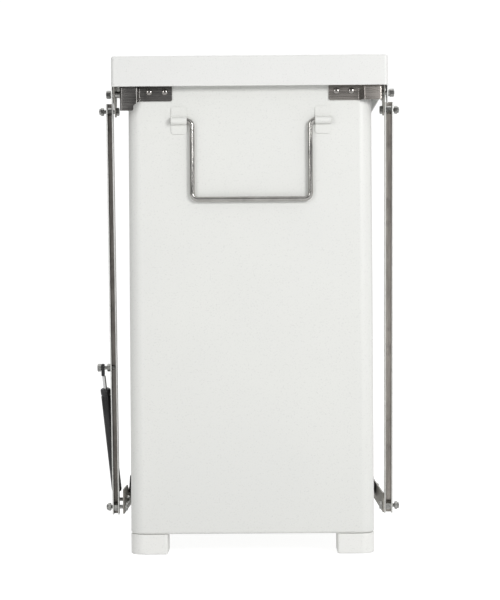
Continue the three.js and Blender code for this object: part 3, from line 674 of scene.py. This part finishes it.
def hex_bolt(node, body, head, toward):
    """A bolt along X. head is its head's thickness, and toward the sign of the X direction of its tip."""
    low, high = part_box(node)
    centre = middle(node)
    start, tip = ends(low, high, toward)
    seat = start + toward * head * MM
    plain = abs(tip - seat) / MM * PLAIN_SHARE
    shank = turned([(0, -0.5), (BOLT_RADIUS, -0.5), (BOLT_RADIUS, 0), (BOLT_RADIUS, plain), (0, plain)],
                   (seat, centre.y, centre.z), (toward, 0, 0))
    threaded = Vector((seat + (tip - seat) * THREAD_START, centre.y, centre.z))
    parts = [hexagon(seat, start, (high.z - low.z) / 2, 0, False, True, centre), shank,
             thread(threaded, abs(tip - threaded.x) / MM, toward)]
    hardware(node, "_hex", merged(*parts), body)


def hex_nut(node, body, locking=0):
    """A nut along X. locking is the sign of the X direction in which its nylon insert's collar faces."""
    low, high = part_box(node)
    centre = middle(node)
    radius = (high.z - low.z) / 2
    if not locking:
        hardware(node, "_hex", hexagon(low.x, high.x, radius, BOLT_HOLE * MM, True, True, centre), body)
        return
    near, far = ends(low, high, locking)
    length = abs(far - near) / MM * 0.3
    shoulder = far - locking * length * MM
    flat = radius * math.cos(math.pi / 6) / MM
    profile = [(BOLT_HOLE, -0.3), (flat * 0.9, -0.3), (flat * 0.9, length * 0.6), (flat * 0.78, length),
               (BOLT_HOLE, length)]
    collar = turned(profile, (shoulder, centre.y, centre.z), (locking, 0, 0), hole=True)
    nut = hexagon(near, shoulder, radius, BOLT_HOLE * MM, True, True, centre)
    hardware(node, "_lock", merged(nut, collar), body)


def pivot_nut(node, side):
    """A hinge nut with a round collar against the lid's ear."""
    low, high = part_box(node)
    centre = middle(node)
    near, far = ends(low, high, side)
    shoulder = far - side * PIVOT_NUT_HEX * MM
    reach = abs(shoulder - near) / MM + 0.2
    collar = turned([(BOLT_HOLE, 0), (4.9, 0), (5.2, 0.3), (5.2, reach), (BOLT_HOLE, reach)],
                    (near, centre.y, centre.z), (side, 0, 0), hole=True)
    nut = hexagon(shoulder, far, (high.z - low.z) / 2, BOLT_HOLE * MM, True, True, centre)
    hardware(node, "_collared", merged(nut, collar), "bin_body")


for word, side in SIDES:
    hinge_bracket(word, side)
    for place_word in ("inner", "outer"):
        dome_rivet(f"hinge_rivet_{word}_{place_word}")
    bushing(f"hinge_bushing_{word}")
    hex_bolt(f"hinge_pivot_bolt_{word}", "bin_body", BOLT_HEAD, side)
for word, side in SIDES:
    pivot_nut(f"hinge_pivot_nut_{word}", side)


# ---------------------------------------------------------------- lid
LID_SKIRT, LID_SHEET, LID_CORNER, LID_EDGE, EAR_RADIUS = 737.0, 1.5, 6.0, 4.0, 16.5


def plate(outline, holes, near, far):
    """A flat plate across X: an outline of (y, z) with holes, between two X positions, in millimetres."""
    reach = 2000.0
    path = measured([Vector((-reach, 0.0)), Vector((reach, 0.0))])
    shifted = [[Vector((point.x + reach, point.y)) for point in loop] for loop in (outline, *holes)]
    centre = (near + far) / 2
    return folded(shifted[0], shifted[1:], path, abs(far - near), lambda y, x, z: at(centre + x, y, z))


def lid_shell():
    low, high = own_box("lid_shell")
    half, top, skirt, sheet = high.x, high.z, LID_SKIRT, LID_SHEET
    middle_y, half_y = (low.y + high.y) / 2, (high.y - low.y) / 2

    def ring(inset, height):
        radius = max(LID_CORNER - inset, 1.5)
        return square_ring(half - inset, half_y - inset, radius, height, middle_y, steps=8)

    rings = [ring(sheet + 3, top - sheet), ring(sheet + 0.9, top - sheet - 0.9),
             ring(sheet, top - sheet - 3), ring(sheet, skirt + 0.5), ring(sheet - 0.5, skirt),
             ring(0.5, skirt), ring(0, skirt + 0.5)]
    for step in range(7):
        angle = step / 6 * math.pi / 2
        rings.append(ring(LID_EDGE * (1 - math.cos(angle)), top - LID_EDGE * (1 - math.sin(angle))))
    ears = []
    for _, side in SIDES:
        outline = [Vector((HINGE.y + EAR_RADIUS, skirt + 4)), Vector((HINGE.y - EAR_RADIUS, skirt + 4))]
        outline += arc(Vector((HINGE.y, HINGE.z)), Vector((-EAR_RADIUS, 0)), math.pi, 20)
        hole = circle(HINGE.y, HINGE.z, EAR_HOLE)
        ears.append(plate(outline, [hole], side * (half - sheet), side * half))
    piece("lid_skin", united(skin(rings), *ears), LID_PAINT, "lid", ["lid_shell"],
          weighted=True, sharp=35)


lid_shell()
for word, side in SIDES:
    dress(f"lid_lever_{word}", LEVER_STEEL)

# ---------------------------------------------------------------- links and their bolts
LINK_HEAD = own(JOINTS["right_link_pivot"]["pos_m"])
LINK_FOOT = own(middle("link_bottom_nut_right"))
LINK_SPAN = Vector((LINK_HEAD.y - LINK_FOOT.y, LINK_HEAD.z - LINK_FOOT.z))
LINK_AHEAD, LINK_BEHIND, LINK_SHEET, LINK_OVER, LINK_NOSE = 9.0, 5.5, 2.0, 12.5, 3.2
DAMPER_BOLT_UP, DAMPER_BOLT_AHEAD = 229.5, 2  # where the damper's bolt goes through the right link


def link(word, side):
    """A channel with its web in front, between the bolts of the lever above and the arm below."""
    low, high = own_box(f"link_{word}")
    near, far = sorted((abs(low.x), abs(high.x)))
    inset = LINK_SHEET / 2
    web = LINK_AHEAD - inset
    path = plan_path([(near + inset, -LINK_BEHIND), (near + inset, web), (far - inset, web),
                      (far - inset, -LINK_BEHIND)], 1.4, 5)
    total, length = path[1][-1], LINK_SPAN.length
    foot_end, head_end = -LINK_OVER, length + LINK_OVER
    outline = rounded([(0, foot_end, LINK_NOSE), (total, foot_end, LINK_NOSE),
                       (total, head_end, LINK_NOSE), (0, head_end, LINK_NOSE)])
    holes = [circle(s, t, BOLT_HOLE) for s in (LINK_BEHIND, total - LINK_BEHIND) for t in (0, length)]
    if side > 0:
        holes.append(circle(total - LINK_BEHIND - DAMPER_BOLT_AHEAD, DAMPER_BOLT_UP, BOLT_HOLE))
    up = LINK_SPAN.normalized()

    def place(x, forward, t):
        return at(side * x, LINK_FOOT.y + t * up.x - forward * up.y,
                  LINK_FOOT.z + t * up.y + forward * up.x)

    piece(f"link_channel_{word}", folded(outline, holes, path, LINK_SHEET, place), LINK_STEEL_WITH_PAINTED_SHADE[word],
          f"{word}_link", [f"link_{word}"], edge=0.22, sharp=50, rim=CUT_EDGE_PAINTED_HIGHLIGHT)


for word, side in SIDES:
    link(word, side)
    for end in ("top", "bottom"):
        hex_bolt(f"link_{end}_bolt_{word}", f"{word}_link", BOLT_HEAD, side)
        hex_nut(f"link_{end}_spacer_{word}", f"{word}_link")
        hex_nut(f"link_{end}_nut_{word}", f"{word}_link", side)

# ---------------------------------------------------------------- pedal
PIVOT = own(JOINTS["pedal_hinge"]["pos_m"])
ARM_TILT = math.radians(-0.5)


def on_arm(forward, height):
    """A point's (y, z) from how far it is in front of the pedal's pivot and above its line."""
    return Vector((PIVOT.y - forward * math.cos(ARM_TILT) + height * math.sin(ARM_TILT),
                   PIVOT.z + forward * math.sin(ARM_TILT) + height * math.cos(ARM_TILT)))


def pedal_pad():
    """A rubber pad with ribs across the foot's way, whose two ends are slightly rounded."""
    low, high = own_box("pedal_pad")
    rear, front = PIVOT.y - high.y, PIVOT.y - low.y
    base, crest, valley = 8.3, 13.3, 11.9
    profile = [on_arm(rear, base), on_arm(front, base), on_arm(front, valley - 1)]
    shoulder = crest - 0.35
    rib = ((0, valley), (0.12, shoulder), (0.22, crest), (0.42, crest), (0.52, shoulder), (0.64, valley))
    ribs, margin = 9, 1.5
    pitch = (front - rear - 2 * margin) / ribs
    for k in range(ribs):
        profile += [on_arm(front - margin - (k + share) * pitch, height) for share, height in rib]
    profile += [on_arm(rear + 1.2, valley), on_arm(rear, valley - 1)]

    def ring(x, drop):
        upper = PIVOT.z + base + 1
        return [at(x, point.x, point.y - (drop if point.y > upper else 0)) for point in profile]

    end_steps = ((0, 1.4), (0.5, 0.4), (1.6, 0))
    rings = [ring(low.x + inset, drop) for inset, drop in end_steps]
    rings += [ring(high.x - inset, drop) for inset, drop in reversed(end_steps)]
    piece("pedal_tread_pad", skin(rings), RUBBER, "pedal", ["pedal_pad"], sharp=50)


def pedal_rivet(node, side):
    low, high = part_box(node)
    centre = middle(node)
    near, _ = ends(low, high, side)
    length, radius, shank = (high.x - low.x) / MM, (high.z - low.z) / 2 / MM, 2.8
    face = length - 2.4
    tail = [(0, 0), (radius * 0.6, 0), (radius * 0.85, 0.7), (radius * 0.85, 2), (shank, 2), (shank, face)]
    dome = [(radius, face), (radius * 0.98, face + 0.5), (radius * 0.8, face + 1.5),
            (radius * 0.45, face + 2.2), (0, length)]
    hardware(node, "_dome", turned(tail + dome, (near, centre.y, centre.z), (side, 0, 0)), "pedal", 50)


pedal_pad()
dress("pedal_crossbar", TREAD_STEEL, 0.5)
for word, side in SIDES:
    pedal_rivet(f"pedal_rivet_{word}", side)
    dress(f"pedal_arm_{word}", ARM_STEEL, 0.4)
    dress(f"fulcrum_block_{word}", NYLON, 1.2)
    hex_bolt(f"fulcrum_bolt_{word}", "bin_body", BOLT_HEAD, -side)

# ---------------------------------------------------------------- damper
DAMPER_TOP = Vector(JOINTS["damper_top_pivot"]["pos_m"])
DAMPER_DOWN = Vector(JOINTS["damper_slide"]["axis"]).normalized()
DAMPER_FOOT = Vector((middle("damper_end_eye").x, *middle("damper_bottom_nut").yz))
DAMPER_LENGTH = (DAMPER_FOOT - DAMPER_TOP).length / MM
DAMPER_BOLT_HEAD = 5.5


def damper_tube():
    """A tube with a rounded lower end, a rolled groove near its mouth and a bore for the rod. The distances
    run down from the upper eye."""
    end, top, bore, bore_end, radius = DAMPER_LENGTH - 14, 36, 3.4, 171, 8.2
    bottom = [(0, end), (3.4, end), (5.6, end - 0.4), (7.4, end - 1.6), (radius, end - 4.2)]
    groove = [(radius, top + 13), (7.55, top + 12.2), (7.35, top + 11), (7.55, top + 9.8),
              (radius, top + 9)]
    mouth = [(radius, top + 2.2), (7.6, top + 0.8), (6.4, top), (bore, top), (bore, bore_end),
             (0, bore_end)]
    profile = bottom + groove + mouth
    piece("damper_cylinder_tube", turned(profile, DAMPER_TOP, DAMPER_DOWN, 40), ENAMEL, "damper_cylinder",
          ["damper_tube"], sharp=50)


def damper_rod():
    start, end, radius, chamfer = 14, 165, 3, 0.5
    profile = [(0, start), (radius, start), (radius, end - chamfer), (radius - chamfer, end), (0, end)]
    piece("damper_piston_rod", turned(profile, DAMPER_TOP, DAMPER_DOWN), CHROME, "damper_piston",
          ["damper_rod"])


def damper_eye(node, centre, toward, material, body):
    """A flat eye round a bolt, with a round neck that meets the damper."""
    low, high = own_box(node)
    radius, neck, reach = 6.4, 4.2, 13.0
    heading = DAMPER_DOWN.yz.normalized() * toward
    across = Vector((-heading.y, heading.x))
    hub = own(centre).yz
    start = math.asin(neck / radius)
    round_part = arc(hub, heading * radius * math.cos(start) + across * neck, 2 * (math.pi - start), 24)
    outline = [hub + heading * reach + across * neck, *round_part, hub + heading * reach - across * neck]
    lug = plate(outline, [circle(hub.x, hub.y, BOLT_HOLE)], low.x, high.x)
    piece(node + "_lug", lug, material, body, [node], edge=0.7, steps=3, sharp=45)


damper_tube()
damper_rod()
damper_eye("damper_rod_eye", DAMPER_TOP, 1, ENAMEL, "damper_piston")
damper_eye("damper_end_eye", DAMPER_FOOT, -1, ZINC, "damper_cylinder")
NODE_BODY = {node: body for body, nodes in frame["record"]["behaviour"]["bodies"].items() for node in nodes}
hex_bolt("damper_top_bolt", NODE_BODY["damper_top_bolt"], DAMPER_BOLT_HEAD, -1)
hex_nut("damper_top_nut", NODE_BODY["damper_top_nut"])
hex_bolt("damper_bottom_bolt", NODE_BODY["damper_bottom_bolt"], BOLT_HEAD, -1)
hex_nut("damper_bottom_nut", NODE_BODY["damper_bottom_nut"], -1)

# ---------------------------------------------------------------- handle and its straps
HANDLE_AXIS = own(JOINTS["handle_swing"]["pos_m"])
WIRE = 3.95  # the radius of the wire


def rear_handle():
    """A wire bail: two legs and a grip, with short ends that turn outwards into the straps."""
    low, high = own_box("rear_handle")
    half, bend, bend_steps, sides = 93.0, 9.0, 10, 20
    chamfer, tip_share = 0.8, 0.72
    centre, end = (low.x + high.x) / 2, (high.x - low.x) / 2
    top, bottom = HANDLE_AXIS.z, low.z + WIRE
    corners = [(end, top), (half, top), (half, bottom), (-half, bottom), (-half, top), (-end, top)]
    points, _, normals = plan_path([(centre + x, z) for x, z in corners], bend, bend_steps)

    def ring(index, share=1, shift=0):
        point, normal, radius = points[index], normals[index], WIRE * share
        turns = [2 * math.pi * k / sides for k in range(sides)]
        return [at(point.x + normal.x * radius * math.cos(turn) + shift,
                   HANDLE_AXIS.y + radius * math.sin(turn),
                   point.y + normal.y * radius * math.cos(turn)) for turn in turns]

    rings = [ring(0, tip_share), ring(0, shift=-chamfer)]
    rings += [ring(index) for index in range(1, len(points) - 1)]
    rings += [ring(-1, shift=chamfer), ring(-1, tip_share)]
    piece("bail_wire_handle", skin(rings), WIRE_STEEL, "handle", ["rear_handle"], sharp=60)


def handle_strap(word, side):
    """A spot-welded strap, pressed outwards into a half-round bearing for the wire."""
    low, high = own_box(f"handle_loop_{word}")
    sheet, corner, half_turn = 1.5, 4.5, math.pi * 0.47
    back, roll = BODY_HALF + STAND_OFF + sheet / 2, WIRE + STAND_OFF + sheet / 2
    axis = HANDLE_AXIS.yz
    start = Vector((math.cos(half_turn), -math.sin(half_turn))) * roll
    points = [Vector((back, low.z)), Vector((back, axis.y - roll - 1.6)),
              Vector((back + 0.5, axis.y - roll - 0.3))]
    points += arc(axis, start, 2 * half_turn, 14)
    points += [Vector((back + 0.5, axis.y + roll + 0.3)), Vector((back, axis.y + roll + 1.6)),
               Vector((back, high.z))]
    path = measured(points)
    total = path[1][-1]
    near, far = sorted((abs(low.x), abs(high.x)))
    outline = rounded([(0, near, corner), (total, near, corner), (total, far, corner), (0, far, corner)])

    def place(y, z, x):
        return at(side * x, y, z)

    piece(f"handle_strap_{word}", folded(outline, [], path, sheet, place), STRAP_PAINT, "bin_body",
          [f"handle_loop_{word}"], edge=0.3, sharp=50)


rear_handle()
for word, side in SIDES:
    handle_strap(word, side)

# ---------------------------------------------------------------- studio
scene = bpy.context.scene


def studio_floor():
    """A pale floor that looks white to the camera and throws a softer light on the object."""
    made = bmesh.new()
    size = 14.0
    for x, y in ((-size, -size), (size, -size), (size, size), (-size, size)):
        made.verts.new((x, y, 0))
    made.faces.new(made.verts[:])
    mesh = bpy.data.meshes.new("studio_floor")
    made.to_mesh(mesh)
    made.free()
    material, nodes, links, shader = new_material("pale_floor")
    shader.inputs["Base Color"].default_value = (0.40, 0.40, 0.40, 1)
    shader.inputs["Roughness"].default_value = 0.9
    shader.inputs["Specular IOR Level"].default_value = 0
    shader.inputs["Emission Color"].default_value = (1, 1, 1, 1)
    rays = nodes.new("ShaderNodeLightPath")
    links.new(spread(nodes, links, rays.outputs["Is Camera Ray"], 0, 1, 0.40, 0.80),
              shader.inputs["Emission Strength"])
    mesh.materials.append(material)
    floor = bpy.data.objects.new("studio_floor", mesh)
    scene.collection.objects.link(floor)


def studio_world():
    """White behind the object. What lights it is brighter overhead and darker to the left of the camera."""
    world = bpy.data.worlds.new("studio")
    world.use_nodes = True
    scene.world = world
    nodes, links = world.node_tree.nodes, world.node_tree.links
    seen, lit = nodes["Background"], nodes.new("ShaderNodeBackground")
    seen.inputs["Color"].default_value = (1, 1, 1, 1)
    seen.inputs["Strength"].default_value = 1.05
    direction = nodes.new("ShaderNodeTexCoord")
    split = nodes.new("ShaderNodeSeparateXYZ")
    links.new(direction.outputs["Generated"], split.inputs["Vector"])
    across = spread(nodes, links, split.outputs["X"], -0.25, 0.25, 0.38, 0.08)
    behind = spread(nodes, links, split.outputs["Y"], 0.25, -0.25, 0, 0.66)
    height = spread(nodes, links, split.outputs["Z"], 0.3, 0.8, 0, 0.62)
    total = across
    for part in (height, behind):
        added = nodes.new("ShaderNodeMath")
        added.operation = "ADD"
        links.new(total, added.inputs[0])
        links.new(part, added.inputs[1])
        total = added.outputs[0]
    links.new(total, lit.inputs["Strength"])
    rays = nodes.new("ShaderNodeLightPath")
    choose = nodes.new("ShaderNodeMixShader")
    links.new(rays.outputs["Is Camera Ray"], choose.inputs["Fac"])
    links.new(lit.outputs["Background"], choose.inputs[1])
    links.new(seen.outputs["Background"], choose.inputs[2])
    links.new(choose.outputs["Shader"], nodes["World Output"].inputs["Surface"])


def softbox(name, place, size, power):
    """A rectangular light that faces the middle of the object."""
    light = bpy.data.lights.new(name, "AREA")
    light.shape, light.size, light.size_y = "RECTANGLE", *size
    light.energy = power
    made = bpy.data.objects.new(name, light)
    made.location = place
    made.rotation_mode = "QUATERNION"
    made.rotation_quaternion = (OBJECT_MIDDLE - Vector(place)).to_track_quat("-Z", "Y")
    scene.collection.objects.link(made)


def studio_camera():
    camera = bpy.data.cameras.new("camera")
    camera.sensor_fit = "AUTO"
    camera.sensor_width = SENSOR
    camera.lens = SENSOR * CAMERA["focal"]
    made = bpy.data.objects.new("camera", camera)
    scene.collection.objects.link(made)
    made.location = CAMERA["place"]
    yaw, pitch, roll = (math.radians(CAMERA[key]) for key in ("yaw", "pitch", "roll"))
    heading = Vector((math.sin(yaw) * math.cos(pitch), -math.cos(yaw) * math.cos(pitch), math.sin(pitch)))
    made.rotation_mode = "QUATERNION"
    made.rotation_quaternion = heading.to_track_quat("-Z", "Y") @ Quaternion((0, 0, 1), roll)
    scene.camera = made


OBJECT_MIDDLE = Vector((0, 0, 0.4))
SENSOR = 36
# focal is the focal length as a share of the picture's height, and the angles are in degrees
CAMERA = {"focal": 1712 / 600, "place": (-0.020, 2.917, 0.401), "yaw": 0.343, "pitch": 0.0, "roll": -0.39}
studio_floor()
studio_world()
softbox("softbox_left", (1.6, 2.8, 1.42), (1.1, 1.1), 17.2)
softbox("softbox_right", (-1.6, 2.7, 1.47), (0.8, 0.8), 39.6)
studio_camera()
scene.view_settings.view_transform = "Standard"
